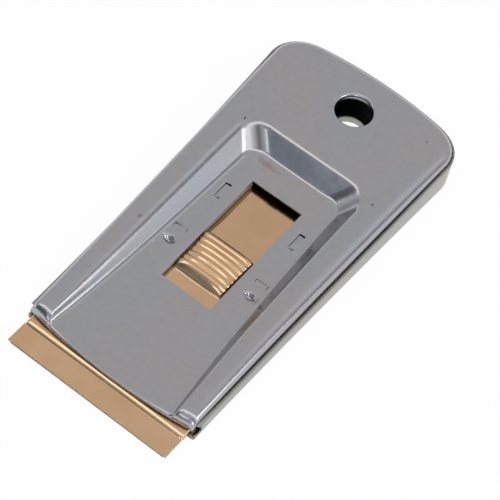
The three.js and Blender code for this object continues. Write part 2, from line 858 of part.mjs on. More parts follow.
function bladeCarriage() {
  let solid = solidFrom(sheetFrom(carriageSurface(), carriageSheet));
  const ribSteps = ribCount * stepsPerRib;
  solid = solid.add(domeSolid(plateTop - carriageSheet, ribSteps, true, 0));
  solid = solid.subtract(domeSolid(carriageFoot, 2 * ribCount, false, carriageSheet));
  const holeFoot = plateTop - overrun;
  for (const side of [-1, 1]) {
    solid = solid.subtract(stopSlot(side));
    for (const place of [detentCentre, detentCentre - travel]) {
      const x = side * detentTabOffset;
      solid = solid.subtract(post(detentHoleRadius, holeFoot, plateTop + overrun, x, place, smallCircleSides));
    }
    const nibX = side * (carriageHalfWidth - carriageSheet / 2);
    const nibTop = plateTop - carriageSheet / 2;
    solid = solid.add(bladeNib(side, nibX, carriageFoot + carriageSheet / 2, nibTop));
  }
  return geometryFrom(solid);
}

// Half-round nib inside the flange, standing in the notch of the blade
function bladeNib(side, x, from, to) {
  const nib = post(nibRadius, from, to, x, bladeNotchSetback - bladeProud, smallCircleSides);
  const outside = side * carriageHalfWidth;
  const inside = side * (carriageHalfWidth - 2 * nibRadius);
  const keep = rectangle(Math.min(inside, outside), Math.max(inside, outside), 0, carriageLength);
  return nib.intersect(raised(keep, 0, plateTop));
}

// Blade and spine

function razorBlade() {
  const front = -bladeProud;
  const middle = bladeFoot + bladeThickness / 2;
  const profile = shapeFrom([
    [front, middle - bladeTip / 2],
    [front + bladeBevel, bladeFoot],
    [front + bladeDepth, bladeFoot],
    [front + bladeDepth, bladeFoot + bladeThickness],
    [front + bladeBevel, bladeFoot + bladeThickness],
    [front, middle + bladeTip / 2],
  ]);
  let solid = across(profile, -bladeWidth / 2, bladeWidth / 2);
  for (const side of [-1, 1]) {
    const y = bladeNotchSetback - bladeProud;
    solid = solid.subtract(post(bladeNotchRadius, 0, plateTop, side * bladeWidth / 2, y, smallCircleSides));
  }
  return geometryFrom(solid);
}

function bladeSpine() {
  const rear = bladeDepth - bladeProud + bladeSeatClearance + spineSheet;
  const front = rear - spineDepth;
  const outer = spineThickness / 2;
  const inner = outer - spineSheet;
  const middle = spineFoot + outer;
  const fold = (radius, from, to) => steps(2 * bendSteps, from, to).map((angle) => [
    rear - outer + radius * Math.cos(angle),
    middle + radius * Math.sin(angle),
  ]);
  const profile = shapeFrom([
    [front, middle - outer],
    ...fold(outer, -quarterTurn, quarterTurn),
    [front, middle + outer],
    [front, middle + inner],
    ...fold(inner, quarterTurn, -quarterTurn),
    [front, middle - inner],
  ]);
  return geometryFrom(across(profile, -bladeWidth / 2, bladeWidth / 2));
}

// Plated finishes

const platedSteel = new THREE.MeshStandardMaterial({ color: 0x919396, roughness: 0.34, metalness: 1 });
const plainSteel = new THREE.MeshStandardMaterial({ color: 0x8b8d8f, roughness: 0.38, metalness: 1 });
const brassPlate = new THREE.MeshStandardMaterial({ color: 0xb8996f, roughness: 0.28, metalness: 1 });
const honedSteel = new THREE.MeshStandardMaterial({ color: 0xc6c8ca, roughness: 0.22, metalness: 1 });
const foldedSteel = new THREE.MeshStandardMaterial({ color: 0xb0b2b4, roughness: 0.3, metalness: 1 });

function named(name, geometry, material) {
  const mesh = new THREE.Mesh(geometry, material);
  mesh.name = name;
  return mesh;
}

const body = new THREE.Group();
body.add(named('top_shell', topShell(), platedSteel));
body.add(named('bottom_tray', bottomTray(), plainSteel));

const slider = new THREE.Group();
slider.add(named('blade_carriage', bladeCarriage(), brassPlate));
slider.add(named('razor_blade', razorBlade(), honedSteel));
slider.add(named('blade_spine', bladeSpine(), foldedSteel));

// The origin lies under the middle of the whole scraper, on the table
const scraper = new THREE.Group();
scraper.add(body, slider);
scraper.position.y = -(shellRear + trayOffset - bladeProud) / 2;

export default scraper;
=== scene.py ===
# %% [markdown]
# # A pocket razor scraper in plated pressed steel
# The real tool is three thin pressings and a razor blade: a top shell with a sunk deck, a tray that
# closes it from below, and a brass-coloured carriage that slides between them.
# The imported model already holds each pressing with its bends, so this lesson takes those shapes, makes
# them smooth enough for polished metal, and spends its effort on plating, light and camera.

# %% Load the frame
import math

import bpy
from mathutils import Matrix, Vector


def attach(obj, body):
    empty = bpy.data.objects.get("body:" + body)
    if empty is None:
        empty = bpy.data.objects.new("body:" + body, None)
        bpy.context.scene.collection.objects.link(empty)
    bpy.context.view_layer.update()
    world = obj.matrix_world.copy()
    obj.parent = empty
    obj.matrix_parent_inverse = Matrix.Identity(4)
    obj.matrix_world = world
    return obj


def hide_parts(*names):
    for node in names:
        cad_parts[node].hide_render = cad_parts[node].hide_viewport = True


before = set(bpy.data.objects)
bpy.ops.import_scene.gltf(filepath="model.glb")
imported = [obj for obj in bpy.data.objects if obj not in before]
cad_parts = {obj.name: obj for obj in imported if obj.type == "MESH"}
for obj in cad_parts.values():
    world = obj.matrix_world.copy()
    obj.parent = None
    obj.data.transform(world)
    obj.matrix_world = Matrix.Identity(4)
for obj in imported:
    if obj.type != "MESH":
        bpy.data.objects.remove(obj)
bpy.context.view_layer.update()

print("nodes:", sorted(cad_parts))

# %% [markdown]
# ## Camera
# The photograph is a close product shot from the blade end, a little to the right and well above.
# Its straight edges fix the camera: azimuth, elevation and roll, a distance of 410 mm, and a long lens.
# The camera could be aimed with a Track To constraint, but its roll would then need a second step,
# so its three axes are worked out and written into its matrix.

# %% Camera
MM = 0.001
AZIMUTH, ELEVATION, ROLL = (math.radians(angle) for angle in (26.61, 55.27, 13.0))
CAMERA_DISTANCE = 410.32 * MM
AIM = Vector((3.905, -2.851, 5.567)) * MM
FOCAL_LENGTH_PX = 2036.5
FRAME_PX = 500
SENSOR = 36

back = Vector((
    math.sin(AZIMUTH) * math.cos(ELEVATION),
    -math.cos(AZIMUTH) * math.cos(ELEVATION),
    math.sin(ELEVATION),
))
level = Vector((math.cos(AZIMUTH), math.sin(AZIMUTH), 0))
right = Matrix.Rotation(ROLL, 3, back) @ level
up = back.cross(right)

lens = bpy.data.cameras.new("camera")
lens.sensor_width = SENSOR
lens.lens = FOCAL_LENGTH_PX / FRAME_PX * SENSOR
camera = bpy.data.objects.new("camera", lens)
bpy.context.scene.collection.objects.link(camera)
turn = Matrix((right, up, back)).transposed().to_4x4()
camera.matrix_world = Matrix.Translation(AIM + back * CAMERA_DISTANCE) @ turn
bpy.context.scene.camera = camera
print("camera at", [round(value / MM, 1) for value in camera.location], "mm, lens", round(lens.lens, 1), "mm")

# %% [markdown]
# ## Corners moved by a formula
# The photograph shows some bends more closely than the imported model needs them. Each is mended by small
# moves of the corners near it, of tenths of a millimetre.
# A sculpting brush could make those moves, but a formula keeps a bend even from one side to the other.
# Every formula here works in mm and counts Y from the front edge of the carriage's strip.

# %% Corners moved by a formula
STRIP_EDGE = -49.335


def blend(low, high, share):
    """A value between low and high."""
    return low + (high - low) * share


def ramp(value, start, end):
    """How far value is from start to end, kept between 0 and 1."""
    return min(max((value - start) / (end - start), 0), 1)


def reshape(piece, formula):
    """Moves each corner of a piece to where the formula puts it."""
    for corner in piece.data.vertices:
        x, y, z = corner.co / MM
        x, y, z = formula(x, y - STRIP_EDGE, z)
        corner.co = Vector((x, y + STRIP_EDGE, z)) * MM


print("the strip's front edge lies at Y =", STRIP_EDGE, "mm")

# %% [markdown]
# ## The step behind the strip
# The strip covers the blade, and behind it the carriage's sheet steps up to the plate. The real step has
# a steep foot, which reflects a dark line, and a gentle slope above it, which reflects a pale one.
# It could be modelled anew from a profile, but moving its rows of corners keeps the sheet's thickness.

# %% The step behind the strip
# Each row: where it is drawn, its height there over the strip, its new place and its new height
STEP_ROWS = (
    (4.30, 0.000, 4.30, 0.00),
    (4.49, -0.007, 4.55, 0.00),
    (4.68, -0.021, 4.80, 0.00),
    (4.87, -0.025, 4.90, 0.00),
    (5.06, 0.137, 5.03, 0.14),
    (5.25, 0.491, 5.17, 0.30),
    (5.44, 0.759, 5.42, 0.42),
    (5.63, 0.764, 5.72, 0.55),
    (5.82, 0.702, 5.90, 0.60),
    (6.01, 0.633, 6.05, 0.60),
    (6.20, 0.600, 6.20, 0.60),
)


def steeper_step(y, z):
    """Moves a corner of the step with the two rows that it lies between."""
    for before, after in zip(STEP_ROWS, STEP_ROWS[1:]):
        if before[0] < y <= after[0]:
            share = ramp(y, before[0], after[0])
            height, place, wanted = (blend(low, high, share) for low, high in zip(before[1:], after[1:]))
            return place, z + wanted - height
    return y, z


print("rows across the step:", len(STEP_ROWS))

# %% [markdown]
# ## The thumb dome
# The dome is pressed up out of the carriage's sheet so that a thumb can push it. The real one is rounder
# across, with shoulders, and has a longer riser at its front end.
# A lattice around the dome could pull it into shape. Here a power of the distance from its middle line
# gives the arch, and its exponent says how square the shoulders are.

# %% The thumb dome
DOME_START, DOME_LENGTH, DOME_HALF_WIDTH = 34.1, 11.3, 6
DOME_FOOT = 2.765
DRAWN_EXPONENT = 2.4, 4.4       # in each of these three, the dome's middle and its ends
NEW_EXPONENT = 2.2, 6
NEW_FALL = 0.55, 0.2
RISER_END, RISER_HOLLOW = 35.3, 0.12


def rounder_arch(across, from_middle, y, z):
    """Height on an arch with shoulders, where the drawn arch is pointed. The riser is a little hollow."""
    drawn = 1 - across ** blend(*DRAWN_EXPONENT, from_middle ** 3)
    shape = from_middle ** 1.5
    wanted = 1 - blend(*NEW_FALL, shape) * across ** blend(*NEW_EXPONENT, shape)
    z = DOME_FOOT + (z - DOME_FOOT) * wanted / drawn
    return z - (z - DOME_FOOT) * RISER_HOLLOW * math.sin(math.pi * ramp(y, DOME_START, RISER_END))


print("dome:", DOME_LENGTH, "mm long,", 2 * DOME_HALF_WIDTH, "mm wide")

# %% [markdown]
# ## The whole carriage
# The riser is stretched, the ribs behind it close up by as much, and the dome grows a little wider
# towards its rear. Its side walls have no height to change, so the arch leaves them alone.

# %% The whole carriage
PLATE_TOP, DOME_SKIN = 2.815, 0.015
DOME_REACH, ARCH_REACH = 1.001, 0.98
DOME_WIDENING, WIDENING_START, WIDENING_END = 1.03, 0.1, 0.4
RISER_STRETCH, HEEL_START = 1.2, 45.05


def longer_riser(y):
    """Stretches the riser and closes up the ribs behind it."""
    riser_end = DOME_START + (RISER_END - DOME_START) * RISER_STRETCH
    if y < RISER_END:
        return blend(DOME_START, riser_end, ramp(y, DOME_START, RISER_END))
    if y < HEEL_START:
        return blend(riser_end, HEEL_START, ramp(y, RISER_END, HEEL_START))
    return y


def crisper_carriage(x, y, z):
    """A steeper step and a rounder dome."""
    y, z = steeper_step(y, z)
    across, along = abs(x) / DOME_HALF_WIDTH, (y - DOME_START) / DOME_LENGTH
    if across < DOME_REACH and 0 < along < 1:
        if across < ARCH_REACH and z > PLATE_TOP + DOME_SKIN:
            z = rounder_arch(across, abs(2 * along - 1), y, z)
        x *= blend(1, DOME_WIDENING, ramp(along, WIDENING_START, WIDENING_END))
        y = longer_riser(y)
    return x, y, z


print("riser:", round((RISER_END - DOME_START) * RISER_STRETCH, 2), "mm long")

# %% [markdown]
# ## The stop tabs' slits
# Two tabs are lanced in the deck, so a slit runs along each side of them and across their rear end. In
# the photograph it is a hairline. The solids keep a wider one, because a gap needs some room there.
# The slits could be closed and drawn with a bump, but a narrow real gap also holds its own shadow.

# %% The stop tabs' slits
SLIT_MIDDLE, SLIT_START, SLIT_END, SLIT_SQUEEZE = 9.55, 0.66, 0.95, 0.35
TABS_FROM, TABS_TO = 50, 60
TAB_REAR, REAR_SLIT = 57.31, 0.4


def narrower_slits(x, y):
    """Draws the slit beside and behind a stop tab together."""
    off_middle = abs(x) - SLIT_MIDDLE
    if SLIT_START < abs(off_middle) < SLIT_END and TABS_FROM < y < TABS_TO:
        narrower = SLIT_START + (abs(off_middle) - SLIT_START) * SLIT_SQUEEZE
        x = math.copysign(SLIT_MIDDLE + math.copysign(narrower, off_middle), x)
    if abs(off_middle) < SLIT_END and TAB_REAR < y < TAB_REAR + REAR_SLIT:
        y = TAB_REAR + (y - TAB_REAR) * SLIT_SQUEEZE
    return x, y


print("slits are squeezed to", SLIT_SQUEEZE, "of their width")

# %% [markdown]
# ## The whole shell
# The deck ends at the front in a tight turn down to a lip, and the hang hole has a short drawn lip.
# A bevel could round a sharp edge there, but both turns exist already and only have the wrong radius,
# so their corners move along a quarter circle, or up towards the lip's head.

# %% The whole shell
LIP_HEIGHT, DECK_TOP, DECK_HALF_WIDTH, ROLL_END, TIGHTNESS = 3.3, 4.12, 14.5, 8, 5
HOLE_MIDDLE, HOLE_REACH = 87.3, 4.75
HOLE_LIP_HEAD, HOLE_LIP_FOOT, HOLE_LIP_SHARE = 8.9, 6.6, 0.4


def tighter_turn(z):
    """Height on the deck's front turn when its radius is that many times smaller."""
    height = (z - LIP_HEIGHT) / (DECK_TOP - LIP_HEIGHT)
    from_edge = 1 - math.sqrt(1 - height ** 2)
    return blend(LIP_HEIGHT, DECK_TOP, math.sqrt(1 - (1 - min(TIGHTNESS * from_edge, 1)) ** 2))


def crisper_shell(x, y, z):
    """A tighter turn at the deck's front edge, a shorter lip in the hang hole and narrower slits."""
    if y < ROLL_END and abs(x) < DECK_HALF_WIDTH and LIP_HEIGHT < z < DECK_TOP:
        z = tighter_turn(z)
    if math.hypot(x, y - HOLE_MIDDLE) < HOLE_REACH and HOLE_LIP_FOOT < z < HOLE_LIP_HEAD:
        z = blend(HOLE_LIP_HEAD, z, HOLE_LIP_SHARE)
    return *narrower_slits(x, y), z


print("the deck's front turn is", TIGHTNESS, "times as tight")

# %% [markdown]
# ## The tray's wall
# The tray's wall stands a little higher beside the shell than the solids have it. Scaling the wall in
# edit mode would do, with its foot as the pivot, and the formula is that same scaling.

# %% The tray's wall
WALL_FOOT, WALL_STRETCH = 0.8, 1.05


def crisper_tray(x, y, z):
    """A side wall that stands a little higher."""
    return x, y, z if z < WALL_FOOT else blend(WALL_FOOT, z, WALL_STRETCH)


print("the tray's wall is", WALL_STRETCH, "times as high")

# %% [markdown]
# ## Smooth pressings
# The frame gives each pressing as loose triangles. Sheet metal has soft bends and sharp cut edges,
# and polished plating shows every facet, so each pressing is copied, its doubled corners are merged,
# and it is shaded smooth except where two faces meet at a sharp angle.
# A Weighted Normal modifier then keeps the flat areas flat, so that only the bends take the gradient.
# Subdividing would also smooth the bends, but it would round the cut edges, which are crisp on the tool.

# %% Smooth pressings
MERGE_DISTANCE = 0.02 * MM
BEND_ANGLE = math.radians(62)


def select_only(obj):
    """Makes obj the one selected and active object."""
    bpy.ops.object.select_all(action="DESELECT")
    obj.select_set(True)
    bpy.context.view_layer.objects.active = obj


def smooth_copy(node, name, formula=None):
    """A merged copy of a CAD node, reshaped by a formula, smooth on its bends and sharp at its cut edges."""
    select_only(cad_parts[node])
    bpy.ops.object.duplicate()
    piece = bpy.context.view_layer.objects.active
    piece.name = name
    piece.data.materials.clear()
    bpy.ops.object.mode_set(mode="EDIT")
    bpy.ops.mesh.select_all(action="SELECT")
    bpy.ops.mesh.remove_doubles(threshold=MERGE_DISTANCE)
    bpy.ops.object.mode_set(mode="OBJECT")
    if formula:
        reshape(piece, formula)
    bpy.ops.object.shade_smooth_by_angle(angle=BEND_ANGLE)
    weighted = piece.modifiers.new("even flats", "WEIGHTED_NORMAL")
    weighted.keep_sharp = True
    bpy.ops.object.modifier_apply(modifier=weighted.name)
    print(name, "has", len(piece.data.vertices), "corners")
    return piece


shell = smooth_copy("top_shell", "shell_pressing", crisper_shell)
tray = smooth_copy("bottom_tray", "tray_pressing", crisper_tray)
carriage = smooth_copy("blade_carriage", "carriage_pressing", crisper_carriage)
blade = smooth_copy("razor_blade", "single_edge_blade")
spine = smooth_copy("blade_spine", "folded_spine")

# %% [markdown]
# ## Window guides
# The long sides of the window look turned down in the photograph: only a thin dark line shows beside the
# brass plate, while the rear edge shows a broad one. Each turned edge is a strip under the deck, a cube
# whose upper corners follow the slope of the deck. A bevel along the window's edge would do it too, but
# that edge meets the window's corners, which stay flat.

# %% Window guides
GUIDE_FOOT, GUIDE_MIDDLE, GUIDE_HEIGHT, GUIDE_THICKNESS, GUIDE_INSET = 3.1, 4.3, 1.8, 0.4, 6.31
WINDOW_START, WINDOW_END = 30.5, 61.2
DECK_START, DECK_SLOPE, INTO_DECK = 4.025, 0.01355, 0.25


def under_deck(x, y, z):
    """Upper corners go into the deck's sheet, lower ones hang over the plate."""
    return x, y, GUIDE_FOOT if z < GUIDE_MIDDLE else DECK_START + DECK_SLOPE * y - INTO_DECK


guides = []
for name, side in (("window_guide_left", -1), ("window_guide_right", 1)):
    across = side * (GUIDE_INSET + GUIDE_THICKNESS / 2)
    middle = Vector((across, (WINDOW_START + WINDOW_END) / 2 + STRIP_EDGE, GUIDE_MIDDLE))
    bpy.ops.object.select_all(action="DESELECT")
    bpy.ops.mesh.primitive_cube_add(size=MM, location=middle * MM,
                                    scale=(GUIDE_THICKNESS, WINDOW_END - WINDOW_START, GUIDE_HEIGHT))
    bpy.ops.object.transform_apply(location=True, rotation=True, scale=True)
    guide = bpy.context.view_layer.objects.active
    guide.name = name
    reshape(guide, under_deck)
    guides.append(guide)
print("guides:", [guide.name for guide in guides])

# %% [markdown]
# ## Nested walls
# The tray is sprung tightly round the shell, so its wall lies on the shell's and no gap shows between
# them. The model keeps a small clearance there. Each corner of the tray that is that close to the shell
# moves most of the way to it. A Shrinkwrap modifier would move the whole tray, so distance chooses them.

# %% Nested walls
NEST_GAP, NEST_SHARE = 0.2, 0.15

bpy.context.view_layer.update()
nested = 0
for corner in tray.data.vertices:
    found, place = shell.closest_point_on_mesh(corner.co)[:2]
    if found and (place - corner.co).length < NEST_GAP * MM:
        corner.co = place.lerp(corner.co, NEST_SHARE)
        nested += 1
print("nested corners:", nested)

# %% [markdown]
# ## Helpers for materials
# A material is a small graph of nodes. One function adds a node with its settings and its inputs,
# whether an input is a plain value or the output of another node.
# Colours are written as sRGB hex values, as a paint program shows them, and turned to linear light once.
# The size of a pattern's features is written in real millimetres.

# %% Helpers for materials
def linear(hex_colour):
    """An sRGB hex colour as linear red, green, blue and alpha."""
    shares = [int(hex_colour[place:place + 2], 16) / 255 for place in (1, 3, 5)]
    light = [share / 12.92 if share <= 0.04045 else ((share + 0.055) / 1.055) ** 2.4 for share in shares]
    return (*light, 1)


def per_mm(size):
    """Scale of a texture whose features are about this many millimetres apart."""
    return 1 / (size * MM)


def add(tree, kind, inputs=None, **settings):
    """Adds a node, applies its settings, and sets or links its inputs."""
    node = tree.nodes.new(kind)
    for name, value in settings.items():
        setattr(node, name, value)
    for name, value in (inputs or {}).items():
        if isinstance(value, bpy.types.NodeSocket):
            tree.links.new(value, node.inputs[name])
        else:
            node.inputs[name].default_value = value
    return node


def new_material(name):
    """An empty node material and its tree."""
    material = bpy.data.materials.new(name)
    material.use_nodes = True
    material.node_tree.nodes.clear()
    return material, material.node_tree


print("white as linear light:", linear("#ffffff"))

# %% [markdown]
# ## Patchy greys
# Plating on drawn sheet is never even: broad patches lean to blue or to brown. Broad noise mixes the two
# greys. Painting them on a texture would also do, but noise has no seams and no picture to keep.

# %% Patchy greys
PATCH_SIZE = 13


def patchy_grey(tree, place, cool, warm):
    """Two greys mixed in soft patches."""
    patches = add(tree, "ShaderNodeTexNoise", {"Vector": place, "Scale": per_mm(PATCH_SIZE), "Detail": 3,
                                               "Roughness": 0.5})
    tint = add(tree, "ShaderNodeMapRange", {"Value": patches.outputs["Fac"], "From Min": 0.36,
                                            "From Max": 0.64})
    greys = add(tree, "ShaderNodeMix", {"Factor": tint.outputs["Result"], "A": linear(cool),
                                        "B": linear(warm)}, data_type="RGBA")
    return greys.outputs["Result"]


print("patches about", PATCH_SIZE, "mm across")

# %% [markdown]
# ## Pores
# A plated face has a few dark pores, where the plating didn't take. A Voronoi pattern divides the face
# into cells, each with a random colour, and only the cells with the reddest colours hold a pore. The real
# pores are finer than the picture shows, so they are drawn just coarse enough to be seen.

# %% Pores
PORE_SPACING, PORE_CHANCE, PORE_SHADE = 6, 0.96, 0.35
LARGEST_PORE, PORE_RIM = 0.04, 0.02       # as shares of the spacing


def pore_shade(tree, place):
    """1 on the plain plating, and darker inside a pore."""
    cells = add(tree, "ShaderNodeTexVoronoi", {"Vector": place, "Scale": per_mm(PORE_SPACING)})
    chance = add(tree, "ShaderNodeSeparateColor", {"Color": cells.outputs["Color"]})
    size = add(tree, "ShaderNodeMapRange", {"Value": chance.outputs["Red"], "From Min": PORE_CHANCE,
                                            "From Max": 1, "To Min": 0, "To Max": LARGEST_PORE})
    inside = add(tree, "ShaderNodeMath", {0: size.outputs["Result"], 1: cells.outputs["Distance"]},
                 operation="SUBTRACT")
    shade = add(tree, "ShaderNodeMapRange", {"Value": inside.outputs[0], "From Min": 0,
                                             "From Max": PORE_RIM, "To Min": 1, "To Max": PORE_SHADE})
    return shade.outputs["Result"]


print("one pore cell in", round(1 / (1 - PORE_CHANCE)))

# %% [markdown]
# ## Scuffs and stains
# Handling leaves small scuffs, and there is a brown stain at the front and a smudge behind the window.
# Each mark is a ball or a long egg in space: its middle, its lengths and its colour. Fine noise tears its
# outline. A decal would need its own sheet, while this mark is simply a place in the metal's pattern.

# %% Scuffs and stains
# Each mark: its middle, its lengths along X, Y and Z, in mm, and its colour
SCUFFS = (
    ((-15.9, 20.5, 9), (0.7, 1.1, 4), "#66666a"),
    ((17.0, 20.7, 9), (0.6, 0.6, 4), "#5c5c60"),
    ((16.3, 41.6, 9), (0.6, 0.8, 4), "#66666a"),
    ((-17.0, -12.7, 7), (1.2, 1.6, 4), "#77787c"),
    ((14.4, -17, 6), (1.8, 10, 8), "#9c8f76"),
    ((-6.5, 17.0, 5), (6, 2, 3), "#a89a99"),
)


def scuffed(tree, place, noise, tone, scuffs):
    """The tone with each mark mixed in, its outline torn by the noise."""
    ragged = add(tree, "ShaderNodeMath", {0: noise, 1: 2}, operation="MULTIPLY")
    for middle, lengths, mark_colour in scuffs:
        off = add(tree, "ShaderNodeVectorMath", {0: place, 1: Vector(middle) * MM}, operation="SUBTRACT")
        sized = add(tree, "ShaderNodeVectorMath", {0: off.outputs[0], 1: Vector(lengths) * MM / 2},
                    operation="DIVIDE")
        reach = add(tree, "ShaderNodeVectorMath", {0: sized.outputs[0]}, operation="LENGTH")
        torn = add(tree, "ShaderNodeMath", {0: reach.outputs["Value"], 1: ragged.outputs[0]},
                   operation="MULTIPLY")
        mark = add(tree, "ShaderNodeMapRange", {"Value": torn.outputs[0], "From Min": 1, "From Max": 0.3,
                                                "To Min": 0, "To Max": 1})
        marked = add(tree, "ShaderNodeMix", {"Factor": mark.outputs["Result"], "A": tone,
                                             "B": linear(mark_colour)}, data_type="RGBA")
        tone = marked.outputs["Result"]
    return tone


print("marks:", len(SCUFFS))

# %% [markdown]
# ## Orange peel
# Drawing a sheet stretches it unevenly, and the plating keeps that as a fine orange peel on a broad wave.
# The relief could be real geometry, but it is a few hundredths of a millimetre high at most, so two bumps
# stand for it. The real peel is finer still, and it is drawn just coarse enough to break up the gloss.

# %% Orange peel
PEEL_SIZE, PEEL_HEIGHT = 0.5, 0.007
WAVE_SIZE, WAVE_HEIGHT = 7, 0.05


def orange_peel(tree, place):
    """The normal of a face with a broad wave and a fine peel on it."""
    wave = add(tree, "ShaderNodeTexNoise", {"Vector": place, "Scale": per_mm(WAVE_SIZE), "Detail": 2})
    wavy = add(tree, "ShaderNodeBump", {"Height": wave.outputs["Fac"], "Distance": WAVE_HEIGHT * MM,
                                        "Strength": 1})
    peel = add(tree, "ShaderNodeTexNoise", {"Vector": place, "Scale": per_mm(PEEL_SIZE), "Detail": 2})
    peeled = add(tree, "ShaderNodeBump", {"Height": peel.outputs["Fac"], "Distance": PEEL_HEIGHT * MM,
                                          "Strength": 1, "Normal": wavy.outputs["Normal"]})
    return peeled.outputs["Normal"]


print("peel", PEEL_SIZE, "mm apart, wave", WAVE_SIZE, "mm apart")

# %% [markdown]
# ## Bright plated steel
# The body is cold-rolled steel sheet, drawn in a press and then plated bright, which gives the eye a
# bluish grey satin metal. The patterns above come together here, and a fine cloud breaks up the shade
# and the gloss by a few hundredths. The tray is the same sheet without the marks, and its greys are a
# little darker with painted shade, for the shadowed paper that its low wall reflects.

# %% Bright plated steel
CLOUD_SIZE, CLOUD_SHADE, CLOUD_GLOSS = 1.4, 0.03, 0.03


def plated_steel(name, cool, warm, base_roughness, scuffs=()):
    """Bright plating on pressed sheet: mottled greys, satin gloss, orange peel and a few dark pores."""
    material, tree = new_material(name)
    place = add(tree, "ShaderNodeTexCoord").outputs["Object"]
    cloud = add(tree, "ShaderNodeTexNoise", {"Vector": place, "Scale": per_mm(CLOUD_SIZE), "Detail": 4,
                                             "Roughness": 0.65}).outputs["Fac"]
    shade = add(tree, "ShaderNodeMapRange", {"Value": cloud, "From Min": 0.3, "From Max": 0.7,
                                             "To Min": 1 - CLOUD_SHADE, "To Max": 1 + CLOUD_SHADE})
    shares = add(tree, "ShaderNodeMath", {0: shade.outputs["Result"], 1: pore_shade(tree, place)},
                 operation="MULTIPLY")
    tone = scuffed(tree, place, cloud, patchy_grey(tree, place, cool, warm), scuffs)
    colour = add(tree, "ShaderNodeVectorMath", {0: tone, "Scale": shares.outputs[0]}, operation="SCALE")
    gloss = add(tree, "ShaderNodeMapRange", {"Value": cloud, "From Min": 0.3, "From Max": 0.7,
                                             "To Min": base_roughness - CLOUD_GLOSS,
                                             "To Max": base_roughness + CLOUD_GLOSS})
    shader = add(tree, "ShaderNodeBsdfPrincipled", {"Base Color": colour.outputs[0], "Metallic": 1,
                                                    "Roughness": gloss.outputs["Result"],
                                                    "Normal": orange_peel(tree, place)})
    add(tree, "ShaderNodeOutputMaterial", {"Surface": shader.outputs["BSDF"]})
    return material


bright_plating = plated_steel("bright_plated_steel", "#abafb5", "#afaeb1", 0.21, SCUFFS)
# Painted shade: the tray's greys are darker than the shell's, for the shadowed paper that its wall reflects
shaded_tray_plating = plated_steel("plated_tray_steel_painted_shade", "#949694", "#989691", 0.24)
print("plated:", bright_plating.name, shaded_tray_plating.name)

# %% [markdown]
# ## Brass-coloured plating
# The carriage is thinner sheet with a pale brass wash over steel: warmer than brass stock, satin, and
# very even, because it is plated on a smoother strip. A darker tone sits in a soft cloud, a fine grain
# dulls the gloss a little, and painted shade darkens the plate behind its dome, for the shadow under
# the deck. The real grain is finer, and it is drawn as coarse as it needs to show.
# Vertex colours could hold that painted shade, but a ramp along Y needs no corners where it begins.

# %% Brass-coloured plating
# Painted shade: where the plate darkens behind the dome, and how far, for the shadow under the deck
PAINTED_SHADE_START, PAINTED_SHADE_END, PAINTED_SHADE_LEVEL = -12 * MM, -4 * MM, 0.91
GRAIN_SIZE, GRAIN_HEIGHT, GRAIN_GLOSS = 0.5, 0.0008, 0.04
BRASS_CLOUD_SIZE = 6


def brass_wash(name, pale, deep, base_roughness):
    """Pale brass wash on smooth strip: nearly even colour and a satin gloss with a fine grain."""
    material, tree = new_material(name)
    place = add(tree, "ShaderNodeTexCoord").outputs["Object"]
    cloud = add(tree, "ShaderNodeTexNoise", {"Vector": place, "Scale": per_mm(BRASS_CLOUD_SIZE),
                                             "Detail": 4, "Roughness": 0.6})
    tint = add(tree, "ShaderNodeMapRange", {"Value": cloud.outputs["Fac"], "From Min": 0.35,
                                            "From Max": 0.65})
    colour = add(tree, "ShaderNodeMix", {"Factor": tint.outputs["Result"], "A": linear(pale),
                                         "B": linear(deep)}, data_type="RGBA")
    along = add(tree, "ShaderNodeSeparateXYZ", {"Vector": place}).outputs["Y"]
    # Painted shade: the colour darkens along Y behind the dome, for the shadow under the deck
    painted_shade = add(tree, "ShaderNodeMapRange", {"Value": along, "From Min": PAINTED_SHADE_START, "From Max": PAINTED_SHADE_END,
                                           "To Min": 1, "To Max": PAINTED_SHADE_LEVEL},
              interpolation_type="SMOOTHSTEP")
    shaded_colour = add(tree, "ShaderNodeVectorMath", {0: colour.outputs["Result"],
                                                "Scale": painted_shade.outputs["Result"]}, operation="SCALE")
    grain = add(tree, "ShaderNodeTexNoise", {"Vector": place, "Scale": per_mm(GRAIN_SIZE), "Detail": 3})
    gloss = add(tree, "ShaderNodeMapRange", {"Value": grain.outputs["Fac"], "From Min": 0.3,
                                             "From Max": 0.7, "To Min": base_roughness - GRAIN_GLOSS,
                                             "To Max": base_roughness + GRAIN_GLOSS})
    bump = add(tree, "ShaderNodeBump", {"Height": grain.outputs["Fac"], "Distance": GRAIN_HEIGHT * MM,
                                        "Strength": 1})
    shader = add(tree, "ShaderNodeBsdfPrincipled", {"Base Color": shaded_colour.outputs[0], "Metallic": 1,
                                                    "Roughness": gloss.outputs["Result"],
                                                    "Normal": bump.outputs["Normal"]})
    add(tree, "ShaderNodeOutputMaterial", {"Surface": shader.outputs["BSDF"]})
    return material


brass_plating = brass_wash("brass_washed_strip", "#dcba95", "#d6b38d", 0.15)
print("washed:", brass_plating.name)

# %% [markdown]
# ## Blade steel
# The blade is hardened carbon steel, bright rolled and then ground to its edge. Grinding leaves fine lines
# that run back from the edge, so the noise is stretched along the blade's depth. The folded spine on
# its back is the same strip unground, a little duller. Real grinding lines are a few hundredths of a
# millimetre apart, and they are drawn coarser so that they show.

# %% Blade steel
LINE_STRETCH, LINE_HEIGHT, LINE_GLOSS = 0.04, 0.004, 0.06


